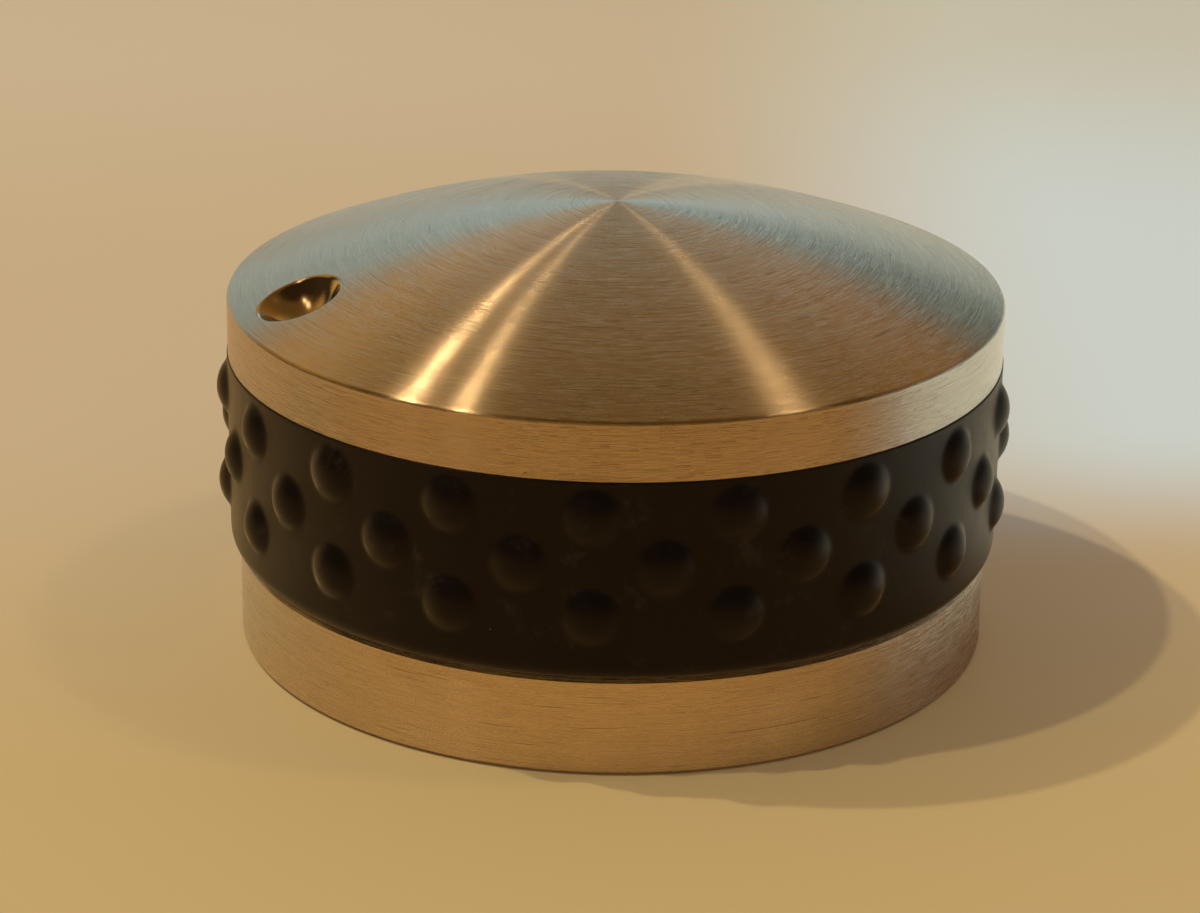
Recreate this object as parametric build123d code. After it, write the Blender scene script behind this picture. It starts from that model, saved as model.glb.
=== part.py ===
from build123d import *
from math import atan, cos, degrees, radians, sin, sqrt, tan
import os

# Push-on stove knob. Lengths are millimetres and angles are degrees.
# The origin is the middle of the flat foot, +Z runs up the spindle axis to the dome,
# and the pointer dimple lies on the -Y side.

# ---- cap: turned from bar, with a domed top, a rim band and a tubular spigot
cap_diameter = 47.0
rim_height = 3.5
dome_rise = 5.5
dome_centre_slope = 0.05        # rise over run at the middle, where the dome is a trace pointed
rim_edge_radius = 0.3
rim_lower_chamfer = 0.15
spigot_wall = 3.0
spigot_end_chamfer = 0.4
cap_roof = 9.5                  # metal between the insert's seat and the top of the rim band

# ---- pointer dimple: a polished countersink near the edge of the dome
dimple_diameter = 5.3
dimple_edge_margin = 1.0        # from the lip of the dimple to the edge of the cap
dimple_angle = 90.0             # included
dimple_tip_radius = 0.12
dimple_lip_radius = 0.15

# ---- grip: a rubber sleeve with staggered rows of bumps
sleeve_height = 12.0
sleeve_wall = 3.6
sleeve_proud = 0.1              # the rubber stands this far outside the rim band
sleeve_top_radius = 0.2
sleeve_foot_radius = 1.0
bump_diameter = 3.6
bump_height = 0.65
bump_root = 0.4                 # how far a bump is carried in below the sleeve's surface
bumps_per_row = 18
bump_rows = 3
bump_row_pitch = 3.0
bump_top_margin = 2.1           # from the top of the sleeve to the middle of the top row
first_bump_angle = 6.6          # from the pointer, towards +X

# ---- base ring: closes the sleeve in from below and is the knob's foot
base_ring_height = 6.0
base_ring_step = 0.5            # the ring is this much smaller in radius than the cap
base_ring_lip = 1.5             # floor of the ring, under the end of the spigot
base_ring_setback = 0.3         # the lip stops this far short of the spigot's bore
base_ring_edge = 0.25

# ---- spindle insert: a moulded web and hub with a D socket
web_thickness = 2.0
register_diameter = 16.0
register_height = 5.0
register_lead = 0.4             # broken edge that guides the register into the cap
hub_diameter = 14.0
hub_root_radius = 0.5
hub_recess = 2.0                # from the foot of the knob up to the mouth of the hub
socket_roof = 1.5
rib_count = 6
rib_thickness = 1.2
rib_depth = 2.5
rib_end_margin = 0.6

# ---- socket for an 8 mm spindle with one flat
spindle_diameter = 8.0
spindle_flat = 6.5              # across the flat
mouth_clearance = 0.25
socket_clearance = 0.05
flat_clearance = 0.1
mouth_depth = 5.0
mouth_chamfer = 0.5

# ---- leaf spring, bowed off the floor of a pocket in the flat of the socket
spring_width = 4.4
spring_length = 7.2
spring_thickness = 0.3
spring_bite = 0.2               # how far the bow stands into the spindle's flat
spring_pocket_depth = 0.8
spring_end_gap = 0.1

# ---- pan-head screws that hold the insert up into the cap
screw_count = 3
screw_edge_distance = 4.38      # from the middle of a screw to the edge of the web
screw_diameter = 2.5
screw_length = 6.0
screw_head_diameter = 4.5
screw_head_height = 1.6
screw_recess_width = 0.6
screw_recess_span = 2.3
screw_recess_depth = 0.9
screw_hole_clearance = 0.2
screw_thread_clearance = 0.02
screw_drill_margin = 1.0        # blind hole beyond the end of the screw

# ---- fits
spigot_clearance = 0.02         # radial, under the sleeve and in the base ring
insert_clearance = 0.1          # radial, between the insert and the cap's bores

# ---- worked out from the sizes above
cap_radius = cap_diameter / 2
sleeve_radius = cap_radius + sleeve_proud
sleeve_bore_radius = sleeve_radius - sleeve_wall
spigot_radius = sleeve_bore_radius - spigot_clearance
bore_radius = spigot_radius - spigot_wall
base_ring_radius = cap_radius - base_ring_step
sleeve_foot = base_ring_height
sleeve_top = sleeve_foot + sleeve_height
rim_top = sleeve_top + rim_height
dome_top = rim_top + dome_rise
dome_bend = (dome_rise - dome_centre_slope * cap_radius) / cap_radius**2
dimple_radius = dimple_diameter / 2
dimple_reach = cap_radius - dimple_edge_margin - dimple_radius
seat_height = rim_top - cap_roof
register_radius = register_diameter / 2
pocket_radius = register_radius + insert_clearance
register_top = seat_height + register_height
pocket_top = register_top + insert_clearance
web_radius = bore_radius - insert_clearance
web_foot = seat_height - web_thickness
hub_radius = hub_diameter / 2
mouth_radius = spindle_diameter / 2 + mouth_clearance
socket_radius = spindle_diameter / 2 + socket_clearance
spindle_flat_offset = spindle_flat - spindle_diameter / 2
socket_flat_offset = spindle_flat_offset + flat_clearance
socket_foot = hub_recess + mouth_depth
socket_top = register_top - socket_roof
pocket_floor_offset = socket_flat_offset + spring_pocket_depth
spring_middle = (socket_foot + socket_top) / 2
screw_radius = screw_diameter / 2
screw_circle_radius = web_radius - screw_edge_distance


def turned(outline):
    """Revolve a closed outline, drawn as (radius, height), about the spindle axis."""
    return revolve(Plane.XZ * outline, Axis.Z)


def corner(outline, radius, height):
    """The corner of an outline that lies nearest to a (radius, height) point."""
    return outline.vertices().sort_by_distance((radius, height, 0))[0]


def dome_height(radius):
    """Height of the dome's surface at a distance from the spindle axis."""
    return dome_top - dome_centre_slope * radius - dome_bend * radius**2


def dome_slope(radius):
    """Downward slope of the dome, rise over run, at a distance from the axis."""
    return dome_centre_slope + 2 * dome_bend * radius


def around(count, start=0.0):
    """Turns about the spindle axis for a ring of copies, counted from the -Y side."""
    return [Rot(0, 0, start + 360 * i / count) for i in range(count)]


def cap_outline():
    """Half section of the cap: dome, rim band, spigot and the two bores from below."""
    mid = cap_radius / 2
    dome = Bezier(
        (0, dome_top),
        (mid, dome_top - dome_centre_slope * mid),
        (cap_radius, rim_top),
    )
    rest = Polyline(
        (cap_radius, rim_top),
        (cap_radius, sleeve_top),
        (spigot_radius, sleeve_top),
        (spigot_radius, base_ring_lip),
        (bore_radius, base_ring_lip),
        (bore_radius, seat_height),
        (pocket_radius, seat_height),
        (pocket_radius, pocket_top),
        (0, pocket_top),
        (0, dome_top),
    )
    outline = make_face([dome, *rest.edges()])
    outline = fillet(corner(outline, cap_radius, rim_top), rim_edge_radius)
    outline = chamfer(corner(outline, cap_radius, sleeve_top), rim_lower_chamfer)
    return chamfer(corner(outline, spigot_radius, base_ring_lip), spigot_end_chamfer)


def pointer_dimple():
    """Cone that is sunk square to the dome to leave the pointer dimple."""
    grow = tan(radians(dimple_angle / 2))
    depth = (dimple_radius - dimple_tip_radius) / grow
    cutter = Cone(dimple_tip_radius, 2 * dimple_radius - dimple_tip_radius, 2 * depth)
    tilt = degrees(atan(dome_slope(dimple_reach)))
    return Pos(0, -dimple_reach, dome_height(dimple_reach)) * Rot(tilt, 0, 0) * cutter


def screw_holes(radius, foot, top):
    """Round cutters for the ring of screws, between two heights."""
    drill = Pos(0, -screw_circle_radius, (foot + top) / 2) * Cylinder(radius, top - foot)
    return [turn * drill for turn in screw_turns()]


def screw_turns():
    """The screws stand midway between ribs."""
    return around(screw_count, 180 / rib_count)


def cap():
    """Dome, rim band and spigot in one piece."""
    body = turned(cap_outline())
    end = web_foot + screw_length + screw_drill_margin
    body -= screw_holes(screw_radius + screw_thread_clearance, seat_height - 1, end)
    body -= pointer_dimple()
    return fillet(dimple_lip(body), dimple_lip_radius)


def dimple_lip(body):
    """The closed edge where the dimple breaks through the dome."""
    middle = Vector(0, -dimple_reach, dome_height(dimple_reach))
    around_dimple = body.edges().sort_by(lambda edge: (edge.center() - middle).length)
    return around_dimple[:3].sort_by(Edge.length)[-1]


def bump(height):
    """One bump of the grip: a ball's cap that stands out along -Y at a height."""
    foot_radius = bump_diameter / 2
    ball_radius = (foot_radius**2 + bump_height**2) / (2 * bump_height)
    root_radius = sqrt(ball_radius**2 - (ball_radius - bump_height - bump_root) ** 2)
    shoulder = ball_radius * (1 - cos(radians(20))) - bump_height
    side = ThreePointArc(
        (0, bump_height),
        (ball_radius * sin(radians(20)), -shoulder),
        (root_radius, -bump_root),
    )
    rest = Polyline((root_radius, -bump_root), (0, -bump_root), (0, bump_height))
    button = turned(make_face([side, *rest.edges()]))
    button = Pos(0, -sleeve_radius, height) * Rot(90, 0, 0) * button
    reach = 2 * sleeve_radius
    beside = Pos(0, 0, sleeve_foot + sleeve_height / 2) * Box(2 * reach, 2 * reach, sleeve_height)
    return button & beside


def grip_sleeve():
    """Rubber tube with its bumps, all one moulding."""
    outline = make_face(
        Polyline(
            (sleeve_bore_radius, sleeve_foot),
            (sleeve_radius, sleeve_foot),
            (sleeve_radius, sleeve_top),
            (sleeve_bore_radius, sleeve_top),
            close=True,
        )
    )
    outline = fillet(corner(outline, sleeve_radius, sleeve_foot), sleeve_foot_radius)
    outline = fillet(corner(outline, sleeve_radius, sleeve_top), sleeve_top_radius)
    bumps = []
    for row in range(bump_rows):
        one = bump(sleeve_top - bump_top_margin - row * bump_row_pitch)
        stagger = (row % 2) * 180 / bumps_per_row
        bumps += [turn * one for turn in around(bumps_per_row, first_bump_angle + stagger)]
    return turned(outline) + bumps


def base_ring():
    """Foot ring: a push fit on the spigot, with a lip under the spigot's end."""
    seat_radius = spigot_radius + spigot_clearance
    lip_radius = bore_radius + base_ring_setback
    outline = make_face(
        Polyline(
            (lip_radius, 0),
            (base_ring_radius, 0),
            (base_ring_radius, base_ring_height),
            (seat_radius, base_ring_height),
            (seat_radius, base_ring_lip),
            (lip_radius, base_ring_lip),
            close=True,
        )
    )
    edges = [
        corner(outline, base_ring_radius, 0),
        corner(outline, base_ring_radius, base_ring_height),
        corner(outline, lip_radius, 0),
    ]
    return turned(chamfer(edges, base_ring_edge))


def socket():
    """What is cut from the hub: a round mouth, the D behind it and the spring's pocket."""
    mouth = turned(
        make_face(
            Polyline(
                (0, hub_recess),
                (mouth_radius + mouth_chamfer, hub_recess),
                (mouth_radius, hub_recess + mouth_chamfer),
                (mouth_radius, socket_foot),
                (0, socket_foot),
                close=True,
            )
        )
    )
    depth = socket_top - socket_foot
    round_part = Pos(0, 0, socket_foot + depth / 2) * Cylinder(socket_radius, depth)
    beyond_flat = Pos(0, socket_flat_offset + socket_radius, socket_foot + depth / 2) * Box(
        2 * socket_radius, 2 * socket_radius, depth
    )
    pocket = Pos(0, socket_flat_offset, spring_middle) * Box(
        spring_width + 2 * spring_end_gap,
        2 * spring_pocket_depth,
        spring_length + 2 * spring_end_gap,
    )
    return mouth + (round_part - beyond_flat) + pocket


def rib():
    """Stiffening rib under the web, from the hub outwards along -Y."""
    inner = (mouth_radius + hub_radius) / 2
    outer = web_radius - rib_end_margin
    return Pos(0, -(inner + outer) / 2, web_foot - rib_depth / 2) * Box(
        rib_thickness, outer - inner, rib_depth
    )


def spindle_insert():
    """Web, hub, register and ribs in one moulding."""
    outline = make_face(
        Polyline(
            (0, hub_recess),
            (hub_radius, hub_recess),
            (hub_radius, web_foot),
            (web_radius, web_foot),
            (web_radius, seat_height),
            (register_radius, seat_height),
            (register_radius, register_top),
            (0, register_top),
            close=True,
        )
    )
    outline = fillet(corner(outline, hub_radius, web_foot), hub_root_radius)
    outline = chamfer(corner(outline, register_radius, register_top), register_lead)
    body = turned(outline) + [turn * rib() for turn in around(rib_count)]
    body -= screw_holes(screw_radius + screw_hole_clearance, web_foot - 1, seat_height + 1)
    return body - socket()


def spring_clip():
    """Leaf bowed towards the spindle, with its ends on the floor of the pocket."""
    half = spring_length / 2
    ends = pocket_floor_offset
    crown = spindle_flat_offset - spring_bite + spring_thickness
    outer = ThreePointArc(
        (ends, spring_middle - half), (crown, spring_middle), (ends, spring_middle + half)
    )
    inner = ThreePointArc(
        (ends - spring_thickness, spring_middle - half),
        (crown - spring_thickness, spring_middle),
        (ends - spring_thickness, spring_middle + half),
    )
    profile = make_face(
        [outer, inner, Line(outer @ 0, inner @ 0), Line(outer @ 1, inner @ 1)]
    )
    return extrude(Plane.YZ * profile, spring_width / 2, both=True)


def insert_screw():
    """Pan-head screw at the -Y side, with its head under the web and a cross recess."""
    head_radius = screw_head_diameter / 2
    tip = web_foot + screw_length
    crown = web_foot - screw_head_height
    edge = web_foot - screw_head_height / 2
    head_arc = ThreePointArc(
        (0, crown), (head_radius * 0.75, crown + screw_head_height * 0.2), (head_radius, edge)
    )
    rest = Polyline(
        (head_radius, edge),
        (head_radius, web_foot),
        (screw_radius, web_foot),
        (screw_radius, tip),
        (0, tip),
        (0, crown),
    )
    body = turned(make_face([head_arc, *rest.edges()]))
    bar = Box(screw_recess_span, screw_recess_width, 2 * screw_recess_depth)
    recess = Pos(0, 0, crown) * (bar + Rot(0, 0, 90) * bar)
    return Pos(0, -screw_circle_radius, 0) * (body - recess)


def main():
    """Write one STEP file for each piece."""
    pieces = {
        "cap": cap(),
        "grip_sleeve": grip_sleeve(),
        "base_ring": base_ring(),
        "spindle_insert": spindle_insert(),
        "spring_clip": spring_clip(),
    }
    for number, turn in enumerate(screw_turns(), start=1):
        pieces[f"insert_screw_{number}"] = turn * insert_screw()
    os.makedirs("parts", exist_ok=True)
    for name, piece in pieces.items():
        export_step(piece, f"parts/{name}.step")


main()
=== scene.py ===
"""Dressed model of a push-on stove knob, laid out as an add-on.

Lengths are metres and angles are radians. The knob stands on its foot at the origin, +Z runs
up the spindle axis to the dome, and the pointer dimple lies on the -Y side.
"""

import math
from contextlib import contextmanager

import bmesh
import bpy
import numpy as np
from bpy.props import FloatProperty, FloatVectorProperty, IntProperty, PointerProperty
from mathutils import Matrix, Vector


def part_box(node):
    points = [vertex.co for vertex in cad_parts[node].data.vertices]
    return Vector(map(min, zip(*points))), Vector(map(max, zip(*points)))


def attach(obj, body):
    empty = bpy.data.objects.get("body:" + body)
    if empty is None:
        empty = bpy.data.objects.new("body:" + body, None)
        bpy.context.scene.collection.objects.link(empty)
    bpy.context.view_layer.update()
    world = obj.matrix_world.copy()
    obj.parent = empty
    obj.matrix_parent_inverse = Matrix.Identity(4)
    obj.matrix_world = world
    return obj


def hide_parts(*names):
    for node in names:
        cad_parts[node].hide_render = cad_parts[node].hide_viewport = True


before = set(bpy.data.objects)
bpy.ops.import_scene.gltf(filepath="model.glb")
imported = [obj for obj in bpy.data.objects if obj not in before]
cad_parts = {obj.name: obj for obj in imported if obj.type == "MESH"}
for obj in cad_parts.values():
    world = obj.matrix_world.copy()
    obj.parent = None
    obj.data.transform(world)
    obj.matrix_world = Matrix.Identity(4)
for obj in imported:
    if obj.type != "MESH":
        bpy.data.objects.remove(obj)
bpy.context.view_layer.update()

bl_info = {
    "name": "Stove knob",
    "version": (1, 0, 0),
    "blender": (4, 5, 0),
    "location": "3D View > Sidebar > Knob",
    "description": "Builds a push-on stove knob piece by piece, with its finishes and its stage",
    "category": "Add Mesh",
}

BODY = "root"
MM = 0.001
BUMP_HEIGHT = 0.65 * MM

cap_low, cap_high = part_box("cap")
sleeve_low, sleeve_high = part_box("grip_sleeve")
_, ring_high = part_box("base_ring")
screw_low, screw_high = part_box("insert_screw_1")


# ---- Sizes and colours ----

def setting(make, **limits):
    """A function that makes one kind of setting from its name, description and default."""
    return lambda name, description, default: make(
        name=name, description=description, default=default, **limits)


length = setting(FloatProperty, min=0.0, subtype="DISTANCE", unit="LENGTH", precision=5)
turn = setting(FloatProperty, subtype="ANGLE", unit="ROTATION")
share = setting(FloatProperty, min=0.0, max=1.0, precision=3)
number = setting(FloatProperty, min=0.0, precision=3)
count = setting(IntProperty, min=1)
paint = setting(FloatVectorProperty, size=3, min=0.0, max=4.0, subtype="COLOR")   # linear


class CapSettings(bpy.types.PropertyGroup):
    """Sizes and colours of the turned cap."""

    radius: length("Radius", "Outside of the rim band", cap_high.x)
    top: length("Top", "Height of the dome's middle", cap_high.z)
    foot: length("Spigot foot", "Height of the spigot's end", cap_low.z)
    rim_foot: length("Rim foot", "Lower edge of the rim band", sleeve_high.z)
    rim_height: length("Rim height", "Height of the rim band", 3.5 * MM)
    centre_slope: share("Centre slope", "Rise over run in the dome's middle", 0.05)
    edge_radius: length("Edge radius", "Rounding between dome and rim band", 0.3 * MM)
    lower_chamfer: length("Lower chamfer", "Broken edge under the rim band", 0.07 * MM)
    spigot_radius: length("Spigot radius", "Tube that carries the sleeve", 19.98 * MM)
    spigot_chamfer: length("Spigot chamfer", "Lead-in at its end", 0.4 * MM)
    bore_radius: length("Bore radius", "Inside of the spigot", 16.98 * MM)
    seat: length("Seat", "Height of the insert's seat", 12 * MM)
    pocket_radius: length("Pocket radius", "Bore for the insert's register", 8.1 * MM)
    pocket_top: length("Pocket top", "Height of the end of that bore", 17.1 * MM)
    dimple_radius: length("Dimple radius", "Mouth of the pointer dimple", 2.65 * MM)
    dimple_margin: length("Dimple margin", "From the dimple to the cap's edge", 1.0 * MM)
    dimple_tip: length("Dimple tip", "Radius of the flat at its bottom", 0.12 * MM)
    dimple_angle: turn("Dimple angle", "Half of the cone's angle", math.radians(45))
    dimple_lip: length("Dimple lip", "Height of its rounding", 0.14 * MM)
    segments: count("Segments", "Faces round the cap", 384)
    metal: paint("Metal", "Colour of the brushed metal", (0.565, 0.523, 0.462))
    line_metal: paint("Line metal", "Colour in the lines", (0.515, 0.472, 0.412))
    # painted shade: the dimple's metal is set darker and warmer than the dome's metal, though it
    # is one piece, so that it looks shaded inside
    polished: paint("Polished metal", "Colour inside the dimple", (0.52, 0.45, 0.36))
    roughness: share("Roughness", "Least roughness of the dome", 0.21)


class SleeveSettings(bpy.types.PropertyGroup):
    """Sizes and colours of the rubber grip."""

    foot: length("Foot", "Height of the lower end", sleeve_low.z)
    top: length("Top", "Height of the upper end", sleeve_high.z)
    bump_height: length("Bump height", "How far a bump stands out", BUMP_HEIGHT)
    radius: length("Radius", "From the axis to the rubber", sleeve_high.y - BUMP_HEIGHT)
    bore_radius: length("Bore radius", "Inside of the sleeve", 20.0 * MM)
    foot_radius: length("Foot radius", "Rounding of the lower edge", 1.0 * MM)
    top_radius: length("Top radius", "Rounding of the upper edge", 0.06 * MM)
    bump_radius: length("Bump radius", "Radius of a bump at its foot", 1.65 * MM)
    foot_blend: length("Foot blend", "Height over which its foot is soft", 0.24 * MM)
    row_pitch: length("Row pitch", "From one row to the next", 3.0 * MM)
    top_margin: length("Top margin", "From the upper edge to the top row", 2.1 * MM)
    first_bump: turn("First bump", "Its turn from the pointer, in the top row", math.radians(6.6))
    bumps_per_row: count("Bumps per row", "Bumps round the sleeve", 18)
    rows: count("Rows", "Rows of bumps", 3)
    segments: count("Segments", "Faces round the sleeve", 864)
    levels: count("Levels", "Faces up the outside of the sleeve", 66)
    rubber: paint("Rubber", "Colour of the rubber", (0.0026, 0.0020, 0.0042))
    dust: paint("Dust", "Colour of the dust on the rubber", (0.30, 0.26, 0.20))
    roughness: share("Roughness", "Mean roughness of the rubber", 0.42)


class RingSettings(bpy.types.PropertyGroup):
    """Sizes and colours of the foot ring."""

    radius: length("Radius", "Outside of the ring", ring_high.x)
    top: length("Top", "Height of the ring", ring_high.z)
    edge: length("Edge", "Broken edges of the ring", 0.25 * MM)
    seat_radius: length("Seat radius", "Bore that takes the spigot", 20.0 * MM)
    lip_radius: length("Lip radius", "Inside of the lip below", 17.28 * MM)
    lip: length("Lip", "Thickness of that lip", 1.5 * MM)
    segments: count("Segments", "Faces round the ring", 384)
    metal: paint("Metal", "Colour of the turned metal", (0.695, 0.645, 0.562))
    line_metal: paint("Line metal", "Colour in the lines", (0.62, 0.57, 0.49))
    roughness: share("Roughness", "Least roughness of the ring", 0.22)


class InsertSettings(bpy.types.PropertyGroup):
    """Sizes and colours of what is fitted inside the knob."""

    screw_circle: length("Screw circle", "From the axis to the screws", 12.5 * MM)
    screws: count("Screws", "How many there are", 3)
    first_screw: turn("First screw", "Its turn from the pointer", math.radians(30))
    sides: count("Sides", "Faces round a screw", 48)
    head_radius: length("Head radius", "Pan head of a screw", 2.25 * MM)
    head_height: length("Head height", "Height of that head", 1.6 * MM)
    shank_radius: length("Shank radius", "Over the thread", 1.25 * MM)
    thread_pitch: length("Thread pitch", "From one turn to the next", 0.45 * MM)
    thread_depth: length("Thread depth", "From crest to root", 0.25 * MM)
    recess_span: length("Recess span", "Across the cross recess", 2.3 * MM)
    recess_width: length("Recess width", "Width of one of its slots", 0.6 * MM)
    recess_depth: length("Recess depth", "Depth of its middle", 0.9 * MM)
    plastic: paint("Plastic", "Colour of the moulded insert", (0.035, 0.035, 0.037))
    spring: paint("Spring steel", "Colour of the leaf spring", (0.50, 0.49, 0.48))
    screw: paint("Plated steel", "Colour of the screws", (0.62, 0.61, 0.57))


class StageSettings(bpy.types.PropertyGroup):
    """Camera, lamps, floor and surroundings."""

    compass: turn("Camera compass", "Camera's direction from +X", math.radians(-20.71))
    elevation: turn("Camera elevation", "Camera's height above the floor", math.radians(23.661))
    distance: length("Camera distance", "From the middle of the foot", 216.9 * MM)
    aim_height: length("Aim height", "Height that the camera looks at", 10.522 * MM)
    aim_left: length("Aim left", "How far left of the axis it looks", 0.823 * MM)
    roll: turn("Camera roll", "Lean of the camera", math.radians(0.826))
    lens: number("Lens", "Focal length in mm, on a 36 mm sensor", 103.435)
    floor_side: length("Floor side", "Side of the square floor", 8.0)
    floor_opening: length("Floor opening", "Radius that is clear under the knob", 22.7 * MM)
    lamp_distance: length("Lamp distance", "From the knob to each lamp", 0.8)
    floor_near: paint("Floor near", "Floor towards the camera", (0.63, 0.55, 0.34))
    floor_left: paint("Floor left", "Floor on the left", (0.64, 0.60, 0.52))
    # painted daylight: the floor is paler and bluer at the back right because daylight is painted
    # on it
    floor_right: paint("Floor right", "Floor at the back right", (0.70, 0.86, 1.0))
    # painted reflection: the near floor as only reflections show it, warmer and more orange than
    # the floor itself
    painted_floor_reflection: paint("Floor in metal", "The near floor as the metal shows it", (0.75, 0.49, 0.20))
    floor_shade: paint("Shaded floor in metal", "Beside the knob, right", (0.38, 0.20, 0.045))
    floor_far: paint("Floor far", "Floor far behind", (0.67, 0.67, 0.63))
    floor_glow: paint("Floor glow", "Daylight on the floor, right", (0.02, 0.09, 0.17))
    floor_day: paint("Floor daylight", "Daylight beyond that, right", (0.32, 0.31, 0.24))
    lamp_colour: paint("Lamp colour", "The two lamps on the left", (1.0, 0.75, 0.40))
    side_colour: paint("Side colour", "The wide lamp on the right", (1.0, 0.68, 0.34))
    shine_colour: paint("Shine colour", "Every lamp, in reflections", (1.0, 0.64, 0.29))
    # the surroundings, as reflections show them
    overhead: paint("Overhead", "Straight up", (0.18, 0.088, 0.020))
    half_left: paint("Half up left", "Half way up on the left", (0.65, 0.34, 0.078))
    half_right: paint("Half up right", "Half way up on the right", (0.32, 0.138, 0.024))
    half_middle: paint("Half up middle", "Half way up, behind the knob", (0.57, 0.325, 0.095))
    above_camera: paint("Above camera", "High up over the camera", (0.04, 0.02, 0.006))
    behind_camera: paint("Behind camera", "Low down behind the camera", (0.30, 0.14, 0.035))
    beside: paint("Beside", "Low down on both sides", (0.06, 0.035, 0.015))
    horizon_left: paint("Horizon left", "Low down on the left", (0.82, 0.48, 0.11))
    horizon_right: paint("Horizon right", "Low down on the right", (0.64, 0.72, 0.68))
    horizon_far: paint("Horizon far", "Low down at the back", (0.62, 0.66, 0.56))
    back_left: paint("Back left", "Higher, back left", (0.39, 0.47, 0.43))
    back_right: paint("Back right", "Higher, back right", (0.11, 0.13, 0.10))
    back_middle: paint("Back middle", "Higher, straight behind", (0.62, 0.74, 0.71))
    fill: paint("Fill", "Soft light that matt surfaces receive", (0.41, 0.31, 0.23))


# ---- Nodes: maths written as expressions, and one method for every other node ----

def arithmetic(operation):
    """The methods that add a Math node for an operator and for its reflected form."""
    return (
        lambda value, other: value.graph.math(operation, value, other),
        lambda value, other: value.graph.math(operation, other, value),
    )


class Value:
    """A number on a socket. Arithmetic on it adds Math nodes to its tree."""

    def __init__(self, graph, socket):
        self.graph = graph
        self.socket = socket

    __add__, __radd__ = arithmetic("ADD")
    __sub__, __rsub__ = arithmetic("SUBTRACT")
    __mul__, __rmul__ = arithmetic("MULTIPLY")
    __truediv__, __rtruediv__ = arithmetic("DIVIDE")
    __pow__, __rpow__ = arithmetic("POWER")
    __gt__, __lt__ = arithmetic("GREATER_THAN")


class Graph:
    """Adds nodes to one tree."""

    def __init__(self, tree):
        self.tree = tree

    def find(self, sockets, key):
        """A socket by its identifier, its name or its number."""
        matches = [socket for socket in sockets if socket.identifier == key]
        return matches[0] if matches else sockets[key]

    def node(self, kind, settings=None, sockets=None, output=0):
        """Add a node: its settings come first, then the values or links of its sockets."""
        made = self.tree.nodes.new(kind)
        for name, setting in (settings or {}).items():
            setattr(made, name, setting)
        for key, given in (sockets or {}).items():
            socket = self.find(made.inputs, key)
            if isinstance(given, Value):
                self.tree.links.new(given.socket, socket)
            else:
                socket.default_value = given
        return Value(self, self.find(made.outputs, output)) if made.outputs else made

    def math(self, operation, *numbers):
        """A Math node on up to three numbers."""
        return self.node("ShaderNodeMath", {"operation": operation}, dict(enumerate(numbers)))

    def vector(self, operation, first, second=None, output=0):
        """A Vector Math node on one or two vectors, or on a vector and its scale."""
        sockets = {0: first}
        if second is not None:
            sockets["Scale" if operation == "SCALE" else 1] = second
        return self.node("ShaderNodeVectorMath", {"operation": operation}, sockets, output)

    def smooth(self, value, low, high):
        """Rises gently from 0 at low to 1 at high."""
        sockets = {"Value": value, "From Min": low, "From Max": high}
        return self.node("ShaderNodeMapRange", {"interpolation_type": "SMOOTHSTEP"}, sockets)

    def mix(self, factor, first, second):
        """Blend two colours."""
        first, second = [c if isinstance(c, Value) else (*c, 1.0) for c in (first, second)]
        sockets = {"Factor_Float": factor, "A_Color": first, "B_Color": second}
        return self.node("ShaderNodeMix", {"data_type": "RGBA"}, sockets, "Result_Color")

    def layers(self, colour, *layers):
        """Lay colours over one another, each with its mask."""
        for mask, over in layers:
            colour = self.mix(mask, colour, over)
        return colour

    def split(self, vector):
        """The three parts of a vector."""
        made = self.node("ShaderNodeSeparateXYZ", None, {0: vector})
        return [Value(self, socket) for socket in made.socket.node.outputs]

    def join(self, x, y, z):
        """A vector from its three parts."""
        return self.node("ShaderNodeCombineXYZ", None, {0: x, 1: y, 2: z})

    def place(self, space="Object"):
        """Where a point lies in its object."""
        return self.node("ShaderNodeTexCoord", None, None, space)

    def ray(self, kind):
        """1 for rays of one kind and 0 for all others."""
        return self.node("ShaderNodeLightPath", None, None, kind)

    def noise(self, vector, scale, detail=2.0, roughness=0.5):
        """Cloudy noise, from about 0 to 1."""
        sockets = {"Vector": vector, "Scale": scale, "Detail": detail, "Roughness": roughness}
        return self.node("ShaderNodeTexNoise", None, sockets, "Fac")

    def chance(self, vector):
        """A random number from 0 to 1 for each place."""
        return self.node("ShaderNodeTexWhiteNoise", None, {"Vector": vector}, "Value")

    def specks(self, vector, spacing, size, share_kept):
        """Small round marks on a grid of cells: 1 in a mark and 0 elsewhere."""
        sockets = {"Vector": vector, "Scale": 1 / spacing}
        near = self.node("ShaderNodeTexVoronoi", None, sockets, "Distance")
        cell = self.node("ShaderNodeTexVoronoi", None, sockets, "Color")
        kept = self.split(cell)[0] < share_kept
        return self.smooth(near, size / spacing, 0.4 * size / spacing) * kept

    def bump(self, height, distance, **normal):
        """Shade a height, from 0 to 1, as relief that is this deep."""
        sockets = {"Height": height, "Distance": distance, **normal}
        return self.node("ShaderNodeBump", None, sockets)

    def shader(self, sockets):
        """A Principled shader."""
        return self.node("ShaderNodeBsdfPrincipled", None, sockets)


def surface(name, finish, *settings, **sizes):
    """A material whose shader comes from a finish and what that finish is given."""
    material = bpy.data.materials.new(name)
    material.use_nodes = True
    material.node_tree.nodes.clear()
    graph = Graph(material.node_tree)
    shader = finish(graph, *settings, **sizes)
    graph.node("ShaderNodeOutputMaterial", None, {"Surface": shader})
    return material


# ---- Finishes ----

def lines_round_axis(graph, x, y, across, pitch, arc):
    """Fine lines that run round the axis, about a pitch apart and an arc long."""
    return graph.noise(graph.join(x / arc, y / arc, across / pitch), 1.0, 1.0, 0.6)


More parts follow.
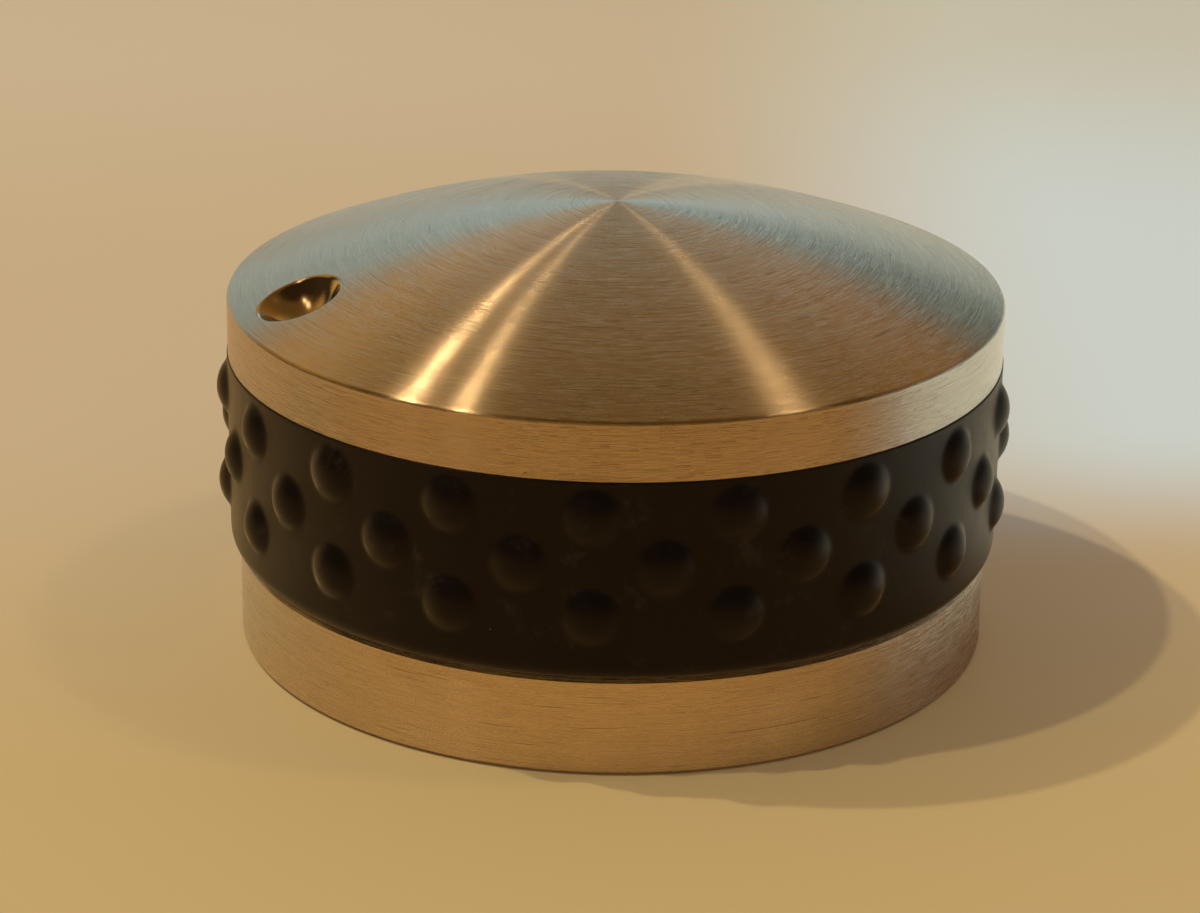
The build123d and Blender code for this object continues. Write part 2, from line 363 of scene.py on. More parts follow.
def leaning(graph, direction, place, across, pitch, arc, slope, nicks):
    """The surface's normal as fine grooves lean it, forwards and back along a direction.
    The grooves are a pitch apart along across and end within an arc, and slope is the
    spread of their leans. Nicks are steeper."""
    x, y, z = graph.split(place)
    spots = [
        graph.join(x / arc, y / arc, across / pitch),
        graph.join(y / (1.7 * arc), z / arc, across / (1.7 * pitch)),
    ]
    first, second = [graph.chance(graph.vector("FLOOR", spot)) for spot in spots]
    lean = (first + second - 1.0) * (slope * 6**0.5) + nicks
    normal = graph.node("ShaderNodeNewGeometry", None, None, "Normal")
    leant = graph.vector("ADD", normal, graph.vector("SCALE", direction, lean))
    return graph.vector("NORMALIZE", leant)


def turned_metal(graph, part, across, coarse, groove, slope, marks):
    """Metal turned on a lathe, with its lines spread across its radius or its height. Its
    grooves stretch a highlight across them, and finer and shorter lines lie over them."""
    place = graph.place()
    x, y, z = graph.split(place)
    if across == "radius":
        reach = (x * x + y * y) ** 0.5
        direction = graph.vector("NORMALIZE", graph.join(x, y, 0.0))
    else:
        reach = z
        direction = (0.0, 0.0, 1.0)
    broad = lines_round_axis(graph, x, y, reach, coarse, 60 * coarse)
    fine = lines_round_axis(graph, x, y, reach, 0.35 * coarse, 20 * coarse)
    score = graph.smooth(fine, 0.66, 0.74)
    matt = graph.smooth(fine, 0.40, 0.62)
    cloud = graph.noise(place, 90.0, 1.0)
    pits = graph.specks(place, 1.1 * MM, 0.075 * MM, marks)
    nicks = graph.specks(graph.join(x * 0.15, y * 0.15, z), 0.5 * MM, 0.02 * MM, marks)
    tone = graph.smooth(broad * 0.35 + fine * 0.65, 0.34, 0.64)
    # painted shade: pits and score lines are laid darker, as shade in these small hollows
    hollow_shade = (0.05, 0.035, 0.02)
    arc = 0.5 * MM
    return graph.shader({
        "Base Color": graph.layers(
            part.line_metal, (tone, part.metal), (score * 0.4 + pits * 0.75, hollow_shade)),
        "Metallic": 1.0,
        "Roughness": part.roughness + matt * 0.06 + (cloud - 0.5) * 0.04 + pits * 0.3,
        "Anisotropic": 1.0,
        "Anisotropic Rotation": 0.25,
        "Normal": leaning(graph, direction, place, reach, groove, arc, slope, nicks * 1.2),
    })


def polished_metal(graph, metal, middle, outward):
    """Bright countersunk metal, rounded towards its tip, with fine rings from the cutter."""
    middle, outward = tuple(middle), tuple(outward)
    place = graph.place()
    away = graph.vector("SUBTRACT", place, middle)
    depth = graph.vector("DOT_PRODUCT", away, outward, "Value")
    aside = graph.vector("SUBTRACT", away, graph.vector("SCALE", outward, depth))
    round_tip = graph.smooth(graph.vector("LENGTH", aside, None, "Value"), 2.3 * MM, 0.8 * MM)
    level = graph.vector("NORMALIZE", aside)
    up_cone = graph.vector("NORMALIZE", graph.vector("ADD", level, outward))
    cloud = graph.noise(place, 900.0)
    pitch, arc, slope = 0.005 * MM, 0.1 * MM, 0.03
    return graph.shader({
        "Base Color": graph.mix(cloud, metal, [0.8 * part for part in metal]),
        "Metallic": 1.0,
        "Roughness": 0.08 + cloud * 0.03,
        "Normal": leaning(graph, up_cone, place, depth, pitch, arc, slope, round_tip * 0.5),
    })


def grip_rubber(graph, sleeve):
    """Dark satin rubber, moulded slightly uneven, with some dust on it."""
    place = graph.place()
    skin_grain = graph.noise(place, 2600.0, 4.0, 0.6)
    swell = graph.noise(place, 160.0, 2.0)
    scuff = graph.smooth(graph.noise(place, 420.0, 5.0, 0.7), 0.56, 0.72)
    motes = graph.specks(place, 1.7 * MM, 0.045 * MM, 0.16)
    uneven = (swell - 0.5) * 0.16 + (skin_grain - 0.5) * 0.10 + scuff * 0.08
    return graph.shader({
        "Base Color": graph.mix(scuff * 0.05 + motes * 0.8, sleeve.rubber, sleeve.dust),
        "Roughness": uneven + sleeve.roughness,
        "Normal": graph.bump(swell, 0.05 * MM, Normal=graph.bump(skin_grain, 0.006 * MM)),
        "Specular IOR Level": 0.20,
        "Sheen Weight": 0.28,
        "Sheen Roughness": 0.35,
        "Sheen Tint": (1.0, 0.85, 0.5, 1.0),
    })


def moulded_plastic(graph, plastic):
    """Dark plastic with a fine grain from the mould."""
    place = graph.place()
    grain = graph.noise(place, 3200.0, 3.0)
    flow = graph.noise(place, 200.0, 2.0)
    return graph.shader({
        "Base Color": graph.mix(flow, plastic, [1.35 * part for part in plastic]),
        "Roughness": 0.42 + grain * 0.16,
        "Normal": graph.bump(grain, 0.008 * MM),
    })


def plain_steel(graph, steel, roughness, scratch):
    """Plated or spring steel with fine scratches."""
    scale = (300.0, 300.0, scratch)
    stretched = graph.node("ShaderNodeMapping", None, {"Vector": graph.place(), "Scale": scale})
    marks = graph.noise(stretched, 12.0, 3.0)
    return graph.shader({
        "Base Color": graph.mix(marks, steel, [0.8 * part for part in steel]),
        "Metallic": 1.0,
        "Roughness": roughness + marks * 0.15,
        "Normal": graph.bump(marks, 0.003 * MM),
    })


# ---- Meshes ----

def full_turn(steps):
    """Angles once round the axis."""
    return np.linspace(0.0, 2 * math.pi, steps, endpoint=False)


def rings_of(section, angles):
    """Points all round the axis for each (radius, height) of a section."""
    spokes = np.column_stack([np.cos(angles), np.sin(angles), np.zeros_like(angles)])
    return [radius * spokes + (0.0, 0.0, height) for radius, height in section]


def arc_points(centre, radius, start, end, steps):
    """Points of an arc in (radius, height)."""
    return [
        (centre[0] + radius * math.cos(a), centre[1] + radius * math.sin(a))
        for a in np.linspace(start, end, steps + 1)
    ]


def line_points(first, last, steps, guard=0.0):
    """Points from first to last, with one close to each end so that shading stays flat."""
    first, last = np.array(first), np.array(last)
    reach = np.linalg.norm(last - first)
    shares = np.linspace(0.0, 1.0, steps + 1)
    if guard:
        shares = np.unique(np.concatenate([shares, [guard / reach, 1 - guard / reach]]))
    return [tuple(first + (last - first) * s) for s in shares]


def placed(name, data):
    """Put a mesh, a lamp or a camera in the scene as an object at the origin."""
    made = bpy.data.objects.new(name, data)
    bpy.context.collection.objects.link(made)
    return made


@contextmanager
def editing(mesh):
    """Edit a mesh as a bmesh and write it back."""
    work = bmesh.new()
    work.from_mesh(mesh)
    yield work
    work.to_mesh(mesh)
    work.free()


def skin(name, rings, materials, looped, tones=None):
    """Object whose mesh runs through rings of points. A looped skin joins its last ring to
    its first, and any other is closed to a point in the middle of each end ring. Every
    face points outwards."""
    size = len(rings[0])
    tones = tones or [0] * len(rings)
    points = np.concatenate(rings)
    faces = []
    face_tones = []
    across = np.arange(size)
    after = np.roll(across, -1)
    pairs = len(rings) if looped else len(rings) - 1
    for level in range(pairs):
        low, high = level * size, (level + 1) % len(rings) * size
        faces += np.column_stack([low + across, low + after, high + after, high + across]).tolist()
        face_tones += [tones[level]] * size
    if not looped:
        last = (len(rings) - 1) * size
        foot, top = len(points), len(points) + 1
        points = np.vstack([points, rings[0].mean(0), rings[-1].mean(0)])
        faces += [[foot, int(b), int(a)] for a, b in zip(across, after)]
        faces += [[top, int(last + a), int(last + b)] for a, b in zip(across, after)]
        face_tones += [tones[0]] * size + [tones[-1]] * size
    mesh = bpy.data.meshes.new(name)
    mesh.from_pydata(points.tolist(), [], faces)
    mesh.polygons.foreach_set("material_index", face_tones)
    for material in materials:
        mesh.materials.append(material)
    with editing(mesh) as work:
        bmesh.ops.recalc_face_normals(work, faces=work.faces)
    smooth_shading(mesh)
    return placed(name, mesh)


def smooth_shading(mesh, angle=math.radians(32)):
    """Shade a mesh smooth, apart from edges that turn by more than an angle."""
    mesh.polygons.foreach_set("use_smooth", [True] * len(mesh.polygons))
    mesh.set_sharp_from_angle(angle=angle)
    mesh.update()


def applied(made):
    """Turn an object's modifiers into a plain mesh."""
    graph = bpy.context.evaluated_depsgraph_get()
    mesh = bpy.data.meshes.new_from_object(made.evaluated_get(graph), depsgraph=graph)
    made.modifiers.clear()
    made.data = mesh


def hand_over(made, slot, *nodes):
    """Let a finished piece stand for its CAD nodes and ride with the knob."""
    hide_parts(*nodes)
    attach(made, BODY)


def cad_piece(node, name, slot, material):
    """Dress the shape of a CAD node, its triangles joined and its flat faces made whole."""
    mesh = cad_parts[node].data.copy()
    mesh.materials.clear()
    flat = math.radians(0.5)
    with editing(mesh) as work:
        bmesh.ops.remove_doubles(work, verts=work.verts, dist=1e-6)
        bmesh.ops.dissolve_limit(work, angle_limit=flat, verts=work.verts, edges=work.edges)
    mesh.materials.append(material)
    smooth_shading(mesh)
    hand_over(placed(name, mesh), slot, node)


def new_tree(name, sizes):
    """Geometry nodes that are given a mesh and named sizes: their graph and inputs."""
    tree = bpy.data.node_groups.new(name, "GeometryNodeTree")
    tree.is_modifier = True
    kinds = {"Mesh": "NodeSocketGeometry"}
    for size, value in sizes.items():
        kinds[size] = "NodeSocketInt" if isinstance(value, int) else "NodeSocketFloat"
    for socket, kind in kinds.items():
        tree.interface.new_socket(socket, in_out="INPUT", socket_type=kind)
    tree.interface.new_socket("Mesh", in_out="OUTPUT", socket_type="NodeSocketGeometry")
    graph = Graph(tree)
    given = tree.nodes.new("NodeGroupInput")
    return graph, {socket: Value(graph, given.outputs[socket]) for socket in kinds}


def end_tree(graph, shape, material):
    """End a tree of geometry nodes in real faces of one material."""
    whole = graph.node("GeometryNodeRealizeInstances", None, {"Geometry": shape})
    sockets = {"Geometry": whole, "Material": material}
    painted = graph.node("GeometryNodeSetMaterial", None, sockets)
    graph.node("NodeGroupOutput", None, {0: painted})
    return graph.tree


def run_nodes(made, tree, sizes):
    """Run geometry nodes on an object once, with these inputs, and keep the plain mesh."""
    modifier = made.modifiers.new(tree.name, "NODES")
    modifier.node_group = tree
    for item in tree.interface.items_tree:
        if item.name in sizes:
            modifier[item.identifier] = sizes[item.name]
    applied(made)


# ---- Cap ----

CONE_RINGS = 14     # up the cone of the dimple
LIP_RINGS = 16      # over its lip
LIP_POLISHED = 7    # of these, inside its mouth
DOME_RINGS = 88     # from the lip to the dome's rounded edge
ROUNDS = 5          # to carry a point along the dimple's axis on to the dome


class Dome:
    """The surface of the dome, worked out from the cap's settings."""

    def __init__(self, cap):
        self.top = cap.top
        self.slope = cap.centre_slope
        rise = cap.top - cap.rim_foot - cap.rim_height
        self.bend = (rise - cap.centre_slope * cap.radius) / cap.radius**2

    def height(self, reach):
        """Height of the dome at a distance from the axis."""
        return self.top - self.slope * reach - self.bend * reach**2

    def height_at(self, points):
        """Height of the dome over or under each point."""
        return self.height(np.hypot(points[:, 0], points[:, 1]))

    def tilt(self, reach):
        """How far the dome leans from level at a distance from the axis."""
        return math.atan(self.slope + 2 * self.bend * reach)


def dimple_axis(cap, dome):
    """Middle of the dimple's mouth on the dome, and the way its axis points."""
    reach = cap.radius - cap.dimple_margin - cap.dimple_radius
    lean = dome.tilt(reach)
    middle = np.array([0.0, -reach, dome.height(reach)])
    return middle, np.array([0.0, -math.sin(lean), math.cos(lean)])


def dimple_rings(cap, dome, angles):
    """Rings from the tip of the dimple up its cone, over its lip and on to the dome."""
    middle, outward = dimple_axis(cap, dome)
    first = np.array([1.0, 0.0, 0.0])
    second = np.cross(outward, first)
    spokes = np.outer(np.cos(angles), first) + np.outer(np.sin(angles), second)
    lip_start = cap.dimple_radius - 1.5 * cap.dimple_lip
    lip_end = cap.dimple_radius + 2.5 * cap.dimple_lip
    cone = np.linspace(cap.dimple_tip, lip_start, CONE_RINGS)
    lip = np.linspace(lip_start, lip_end, LIP_RINGS + 1)[1:]
    rings = []
    for radius in [*cone, *lip]:
        flat = middle + radius * spokes
        rise = np.zeros(len(angles))
        for _ in range(ROUNDS):
            now = flat + np.outer(rise, outward)
            rise += (dome.height_at(now) - now[:, 2]) / outward[2]
        sunk = (radius - cap.dimple_radius) / math.tan(cap.dimple_angle)
        near = np.maximum(cap.dimple_lip - np.abs(sunk - rise), 0.0)
        depth = np.minimum(sunk, rise) - near**2 / (4 * cap.dimple_lip)
        rings.append(flat + np.outer(depth, outward))
    return rings


def dome_rings(dome, inner, outer):
    """Rings that widen over the dome from the dimple's lip to the start of the rounded edge."""
    rings = []
    for s in np.linspace(0.0, 1.0, DOME_RINGS + 1)[1:]:
        ring = (1 - s) * inner + s * outer
        ring[:, 2] = dome.height_at(ring)
        rings.append(ring)
    return rings


def cap_section(cap, dome):
    """Half section of the cap: its rounded edge, its rim band and what is out of sight."""
    edge = cap.edge_radius
    lean = dome.tilt(cap.radius)
    touch = cap.radius - edge + edge * math.sin(lean)
    centre = (cap.radius - edge, dome.height(touch) - edge * math.cos(lean))
    rounded = arc_points(centre, edge, math.pi / 2 - lean, 0.0, 7)
    band_foot = (cap.radius, cap.rim_foot + cap.lower_chamfer)
    spigot_foot = (cap.spigot_radius, cap.foot + cap.spigot_chamfer)
    hidden = [
        (cap.radius - cap.lower_chamfer, cap.rim_foot),
        *line_points((cap.spigot_radius, cap.rim_foot), spigot_foot, 4),
        (cap.spigot_radius - cap.spigot_chamfer, cap.foot),
        *line_points((cap.bore_radius, cap.foot), (cap.bore_radius, cap.seat), 4),
        (cap.pocket_radius, cap.seat),
        (cap.pocket_radius, cap.pocket_top),
        (0.3 * MM, cap.pocket_top),
    ]
    return rounded, line_points(rounded[-1], band_foot, 6, guard=0.04 * MM)[1:], hidden


class KNOB_OT_cap(bpy.types.Operator):
    """Add the turned cap: dome, pointer dimple, rim band and spigot in one piece"""

    bl_idname = "knob.cap"
    bl_label = "Cap"

    def execute(self, context):
        cap = context.scene.knob_cap
        dome = Dome(cap)
        angles = full_turn(cap.segments)
        dimple = dimple_rings(cap, dome, angles)
        rounded, band, hidden = cap_section(cap, dome)
        edge, *turned = rings_of([*rounded, *band, *hidden], angles)
        over = dome_rings(dome, dimple[-1], edge)
        brushed, polished, rim, inside = range(4)
        tones = [polished] * (CONE_RINGS + LIP_POLISHED)
        tones += [brushed] * (len(dimple) + len(over) + len(rounded) - 1 - len(tones))
        tones += [rim] * len(band) + [inside] * len(hidden)
        materials = [
            surface(
                "brushed_dome", turned_metal, cap, "radius",
                coarse=0.20 * MM, groove=0.004 * MM, slope=0.23, marks=0.012,
            ),
            surface("polished_dimple", polished_metal, cap.polished, *dimple_axis(cap, dome)),
            surface(
                "turned_rim", turned_metal, cap, "height",
                coarse=0.18 * MM, groove=0.005 * MM, slope=0.23, marks=0.10,
            ),
            surface(
                "turned_bore", turned_metal, cap, "height",
                coarse=0.5 * MM, groove=0.02 * MM, slope=0.25, marks=0.02,
            ),
        ]
        made = skin("turned_cap", [*dimple, *over, *turned], materials, False, tones)
        hand_over(made, "cap_metal", "cap")
        return {"FINISHED"}


# ---- Grip sleeve ----

def sleeve_section(sleeve):
    """Closed section of the sleeve without its bumps, with many points up its outside."""
    low, high = sleeve.foot_radius, sleeve.top_radius
    foot = arc_points((sleeve.radius - low, sleeve.foot + low), low, -math.pi / 2, 0.0, 10)
    top = arc_points((sleeve.radius - high, sleeve.top - high), high, 0.0, math.pi / 2, 6)
    side = line_points(foot[-1], top[0], sleeve.levels)
    bore_top = (sleeve.bore_radius, sleeve.top)
    bore_foot = (sleeve.bore_radius, sleeve.foot)
    return [*foot, *side[1:-1], *top, *line_points(bore_top, bore_foot, 3)]


def bump_tree(sleeve, sizes, material):
    """Geometry nodes that raise staggered rows of round bumps from the outside of a sleeve."""
    graph, given = new_tree("grip_bumps", sizes)
    x, y, z = graph.split(graph.node("GeometryNodeInputPosition"))
    reach = (x * x + y * y) ** 0.5
    angle = graph.math("ARCTAN2", y, x) - given["First Bump"]
    step = 2 * math.pi / given["Bumps Per Row"]
    height = given["Bump Height"]
    ball = (given["Bump Radius"] ** 2 + height**2) / (2 * height)
    for row in range(sleeve.rows):
        stagger = step * (0.5 * (row % 2))
        aside = graph.math("WRAP", angle - stagger, step * 0.5, step * -0.5) * given["Radius"]
        above = z - (given["Top Row Height"] - given["Row Pitch"] * float(row))
        inside = graph.math("MAXIMUM", ball * ball - aside * aside - above * above, 0.0)
        button = inside**0.5 - (ball - height)
        rise = graph.math("MAXIMUM", button, rise) if row else button
    rise = graph.math("SMOOTH_MAX", rise, 0.0, given["Foot Blend"])
    rise = rise * (reach > given["Wall Middle"])
    offset = graph.join(x / reach * rise, y / reach * rise, 0.0)
    sockets = {"Geometry": given["Mesh"], "Offset": offset}
    raised = graph.node("GeometryNodeSetPosition", None, sockets)
    return end_tree(graph, raised, material)


class KNOB_OT_grip_sleeve(bpy.types.Operator):
    """Add the rubber sleeve with its three staggered rows of bumps"""

    bl_idname = "knob.grip_sleeve"
    bl_label = "Grip sleeve"

    def execute(self, context):
        sleeve = context.scene.knob_sleeve
        rubber = surface("grip_rubber", grip_rubber, sleeve)
        rings = rings_of(sleeve_section(sleeve), full_turn(sleeve.segments))
        made = skin("bumped_sleeve", rings, [rubber], looped=True)
        sizes = {
            "Radius": sleeve.radius,
            "Wall Middle": (sleeve.radius + sleeve.bore_radius) / 2,
            "Top Row Height": sleeve.top - sleeve.top_margin,
            "Row Pitch": sleeve.row_pitch,
            "First Bump": sleeve.first_bump - math.pi / 2,
            "Bumps Per Row": float(sleeve.bumps_per_row),
            "Bump Radius": sleeve.bump_radius,
            "Bump Height": sleeve.bump_height,
            "Foot Blend": sleeve.foot_blend,
        }
        run_nodes(made, bump_tree(sleeve, sizes, rubber), sizes)
        smooth_shading(made.data, math.radians(60))
        hand_over(made, "grip_rubber", "grip_sleeve")
        return {"FINISHED"}


# ---- Foot ring ----

def ring_section(ring):
    """Closed section of the foot ring."""
    edge = ring.edge
    foot, head = (ring.radius, edge), (ring.radius, ring.top - edge)
    return [
        (ring.radius - edge, 0.0),
        *line_points(foot, head, 6, guard=0.03 * MM),
        (ring.radius - edge, ring.top),
        (ring.seat_radius, ring.top),
        (ring.seat_radius, ring.lip),
        (ring.lip_radius, ring.lip),
        (ring.lip_radius, edge),
        (ring.lip_radius + edge, 0.0),
    ]


class KNOB_OT_foot_ring(bpy.types.Operator):
    """Add the metal ring that closes the knob below and stands on the floor"""

    bl_idname = "knob.foot_ring"
    bl_label = "Foot ring"

    def execute(self, context):
        ring = context.scene.knob_ring
        metal = surface(
            "turned_ring", turned_metal, ring, "height",
            coarse=0.26 * MM, groove=0.006 * MM, slope=0.16, marks=0.07,
        )
        rings = rings_of(ring_section(ring), full_turn(ring.segments))
        made = skin("foot_ring", rings, [metal], looped=True)
        hand_over(made, "ring_metal", "base_ring")
        return {"FINISHED"}


# ---- Inside: insert, spring and screws ----

class KNOB_OT_spindle_insert(bpy.types.Operator):
    """Add the moulded insert with its ribs and D socket"""

    bl_idname = "knob.spindle_insert"
    bl_label = "Spindle insert"

    def execute(self, context):
        colour = context.scene.knob_insert.plastic
        plastic = surface("insert_plastic", moulded_plastic, colour)
        cad_piece("spindle_insert", "moulded_insert", "insert_plastic", plastic)
        return {"FINISHED"}


class KNOB_OT_spring_clip(bpy.types.Operator):
    """Add the leaf spring that bears on the flat of the spindle"""

    bl_idname = "knob.spring_clip"
    bl_label = "Spring clip"

    def execute(self, context):
        colour = context.scene.knob_insert.spring
        steel = surface("spring_steel", plain_steel, colour, roughness=0.25, scratch=20.0)
        cad_piece("spring_clip", "leaf_spring", "spring_steel", steel)
        return {"FINISHED"}


def screw_section(insert, foot, tip):
    """Half section of a screw, from the middle of its head to its tip."""
    head = insert.head_radius
    edge = foot + insert.head_height / 2
    seat = foot + insert.head_height
    pan = [
        (head * math.sin(a), edge - insert.head_height / 2 * math.cos(a))
        for a in np.linspace(0.02, math.pi / 2, 26)
    ]
    root = insert.shank_radius - insert.thread_depth
    shank = line_points((root, seat), (root, tip - 0.3 * MM), 90)
    return [*pan, *line_points((head, edge), (head, seat), 2)[1:], *shank, (0.5 * root, tip)]


def screw_skin(insert, foot, tip, material):
    """One pan-head screw on the axis, head down, with its thread."""
    angles = full_turn(insert.sides)
    section = screw_section(insert, foot, tip)
    rings = rings_of(section, angles)
    seat = foot + insert.head_height
    for ring, (_, height) in zip(rings, section):
        if seat < height < tip:
            turns = (height - seat) / insert.thread_pitch
            phase = turns - angles / (2 * math.pi)
            crest = min(1.0, turns) * insert.thread_depth * np.abs(2 * (phase % 1.0) - 1.0)
            ring[:, 0] += crest * np.cos(angles)
            ring[:, 1] += crest * np.sin(angles)
    return skin("insert_screw", rings, [material], looped=False)


def cut_recess(screw, insert, foot):
    """Cut the cross recess into the head of a screw."""
    mesh = bpy.data.meshes.new("recess")
    slot = Matrix.Diagonal((insert.recess_span, insert.recess_width, 2 * insert.recess_depth, 1))
    with editing(mesh) as work:
        for turned in (0.0, math.pi / 2):
            lie = Matrix.Rotation(turned, 4, "Z") @ Matrix.Translation((0, 0, foot))
            bmesh.ops.create_cube(work, size=1.0, matrix=lie @ slot)
    cutter = placed("recess", mesh)
    cut = screw.modifiers.new("recess", "BOOLEAN")
    cut.operation = "DIFFERENCE"
    cut.solver = "EXACT"
    cut.use_self = True
    cut.object = cutter
    applied(screw)
    bpy.data.objects.remove(cutter)
    bpy.data.meshes.remove(mesh)


def screw_tree(screw, sizes, material):
    """Geometry nodes that set copies of a screw on a circle."""
    graph, given = new_tree("screw_circle", sizes)
    sockets = {"Vertices": given["Screws"], "Radius": given["Circle Radius"]}
    circle = graph.node("GeometryNodeMeshCircle", None, sockets)
    sockets = {"Geometry": circle, "Rotation": graph.join(0.0, 0.0, given["First Screw"])}
    circle = graph.node("GeometryNodeTransform", None, sockets)
    source = graph.node("GeometryNodeObjectInfo", None, {"Object": screw}, "Geometry")
    sockets = {"Points": circle, "Instance": source}
    copies = graph.node("GeometryNodeInstanceOnPoints", None, sockets)
    return end_tree(graph, copies, material)


class KNOB_OT_insert_screws(bpy.types.Operator):
    """Add the pan-head screws that hold the insert up into the cap"""

    bl_idname = "knob.insert_screws"
    bl_label = "Insert screws"

    def execute(self, context):
        insert = context.scene.knob_insert
        foot, tip = screw_low.z, screw_high.z
        steel = surface("plated_steel", plain_steel, insert.screw, roughness=0.22, scratch=300.0)
        screw = screw_skin(insert, foot, tip, steel)
        cut_recess(screw, insert, foot)
        smooth_shading(screw.data)
        made = placed("insert_screws", bpy.data.meshes.new("insert_screws"))
        sizes = {
            "Screws": insert.screws,
            "Circle Radius": insert.screw_circle,
            "First Screw": insert.first_screw - math.pi / 2,
        }
        run_nodes(made, screw_tree(screw, sizes, steel), sizes)
        bpy.data.objects.remove(screw)
        nodes = [f"insert_screw_{number + 1}" for number in range(insert.screws)]
        hand_over(made, "screw_steel", *nodes)
        return {"FINISHED"}


# ---- Stage ----

def bearings(stage):
    """Level directions towards the camera and towards its right."""
    towards = Vector((math.cos(stage.compass), math.sin(stage.compass), 0.0))
    return towards, Vector((-towards.y, towards.x, 0.0))


def sideways(graph, stage, vector):
    """How far a vector points towards the camera, to its right, and up."""
    towards, right = bearings(stage)
    x, y, z = graph.split(vector)
    return x * towards.x + y * towards.y, x * right.x + y * right.y, z


def floor_finish(graph, stage):
    """Matt pale floor, warm near the camera and on the left, and pale at the back right, where
    daylight is painted on it and glows a little. Reflections see painted colours of their own:
    a warmer near floor, painted shade beside the knob, and painted daylight beside its right
    and far behind. It is clear from below and under the knob, so that light gets in there."""
    place = graph.place()
    near, right, _ = sideways(graph, stage, place)
    middle = (near * near + right * right) ** 0.5
    reach = middle - near * 0.7
    smooth, mirrored, seen = graph.smooth, graph.ray("Is Glossy Ray"), graph.ray("Is Camera Ray")

    # where the daylight and the shade lie, first beside the knob and then behind it
    beside = smooth(right, 0.015, 0.032) * smooth(near, 0.055, 0.0)
    beside = beside * smooth(reach, 0.034, 0.048) * mirrored
    shade = smooth(right, 0.008, 0.024) * smooth(near, 0.030, 0.005)
    shade = shade * smooth(reach, 0.040, 0.030) * mirrored
    behind = smooth(near, -0.008, -0.035)
    far = smooth(near, -0.05, -0.10) * smooth(right * right, 0.004, 0.0005) * mirrored
    # painted daylight: the floor is made pale and bluer where daylight is painted, behind the knob
    # to the right, and for reflections also beside the knob's right and far behind
    pale = graph.math("MAXIMUM", behind, beside) * smooth(right, 0.0, 0.04)
    pale = graph.math("MAXIMUM", pale, far)
    front = graph.math("MAXIMUM", smooth(near, -0.01, 0.04), smooth(right, -0.02, -0.05) * 0.55)
    colour = graph.layers(
        stage.floor_left,
        (smooth(near, -0.03, 0.03), stage.floor_near),
        (smooth(near, -0.06, -0.14), stage.floor_far),
        # painted reflection: only reflections see this warmer near floor
        (mirrored * front, stage.painted_floor_reflection),
        (shade, stage.floor_shade),
        (pale, stage.floor_right),
    )
    # painted daylight: the floor glows at the back right for the camera and for reflections, and
    # for reflections only beside the knob's right and far behind, though it is no lamp
    glow = graph.layers(
        (0.0, 0.0, 0.0),
        (pale * smooth(near, -0.16, -0.08) * graph.math("MAXIMUM", mirrored, seen),
         stage.floor_glow),
        (graph.math("MAXIMUM", beside, far), stage.floor_day),
    )
    board = graph.shader({
        "Base Color": colour,
        "Roughness": 0.62 + graph.noise(place, 14.0) * 0.06,
        "Specular IOR Level": 0.25,
        "Emission Color": glow,
        "Emission Strength": 1.0,
    })
    below = graph.node("ShaderNodeNewGeometry", None, None, "Backfacing")
    open_here = graph.math("MAXIMUM", below, middle < stage.floor_opening)
    clear = graph.node("ShaderNodeBsdfTransparent")
    return graph.node("ShaderNodeMixShader", None, {0: open_here, 1: board, 2: clear})


def add_floor(stage):
    """Level square floor under the knob."""
    half = stage.floor_side / 2
    corners = [(-half, -half, 0), (half, -half, 0), (half, half, 0), (-half, half, 0)]
    mesh = bpy.data.meshes.new("floor")
    mesh.from_pydata(corners, [], [(0, 1, 2, 3)])
    mesh.materials.append(surface("floor", floor_finish, stage))
    placed("floor", mesh)


def add_surroundings(stage, scene):
    """World that is pale along the horizon at the back and dark and warm overhead."""
    world = bpy.data.worlds.new("surroundings")
    world.use_nodes = True
    world.node_tree.nodes.clear()
    graph = Graph(world.node_tree)
    near, right, up = sideways(graph, stage, graph.place("Generated"))
    smooth = graph.smooth
    side = smooth(right, -0.6, 0.6)
    left = graph.mix(smooth(near, -0.5, -0.15), stage.horizon_left, stage.beside)
    horizon = graph.layers(
        stage.horizon_far,
        (smooth(right, 0.3, 0.6), stage.horizon_right),
        (smooth(right, -0.3, -0.6), left),
        (smooth(near, -0.4, 0.4), stage.behind_camera),
    )
    band = graph.layers(
        stage.back_left,
        (side, stage.back_right),
        (smooth(right * right, 0.03, 0.002), stage.back_middle),
        (smooth(near, -0.85, -0.5), stage.beside),
    )
    straight = smooth(right * right, 0.07, 0.0) * smooth(near, -0.2, -0.5)
    flank = smooth(near, -0.35, -0.05) * smooth(right * right, 0.2, 0.45)
    half = graph.layers(
        stage.half_left,
        (side, stage.half_right),
        (straight, stage.half_middle),
        (flank, stage.beside),
    )
    colour = graph.layers(
        horizon,
        (smooth(up, 0.05, 0.22), band),
        (smooth(up, 0.32, 0.55), half),
        (smooth(up, 0.55, 0.98), stage.overhead),
        (smooth(near, 0.0, 0.3) * smooth(up, 0.4, 0.7), stage.above_camera),
        (graph.ray("Is Diffuse Ray"), stage.fill),
    )
    light = graph.node("ShaderNodeBackground", None, {"Color": colour})
    graph.node("ShaderNodeOutputWorld", None, {"Surface": light})
    scene.world = world


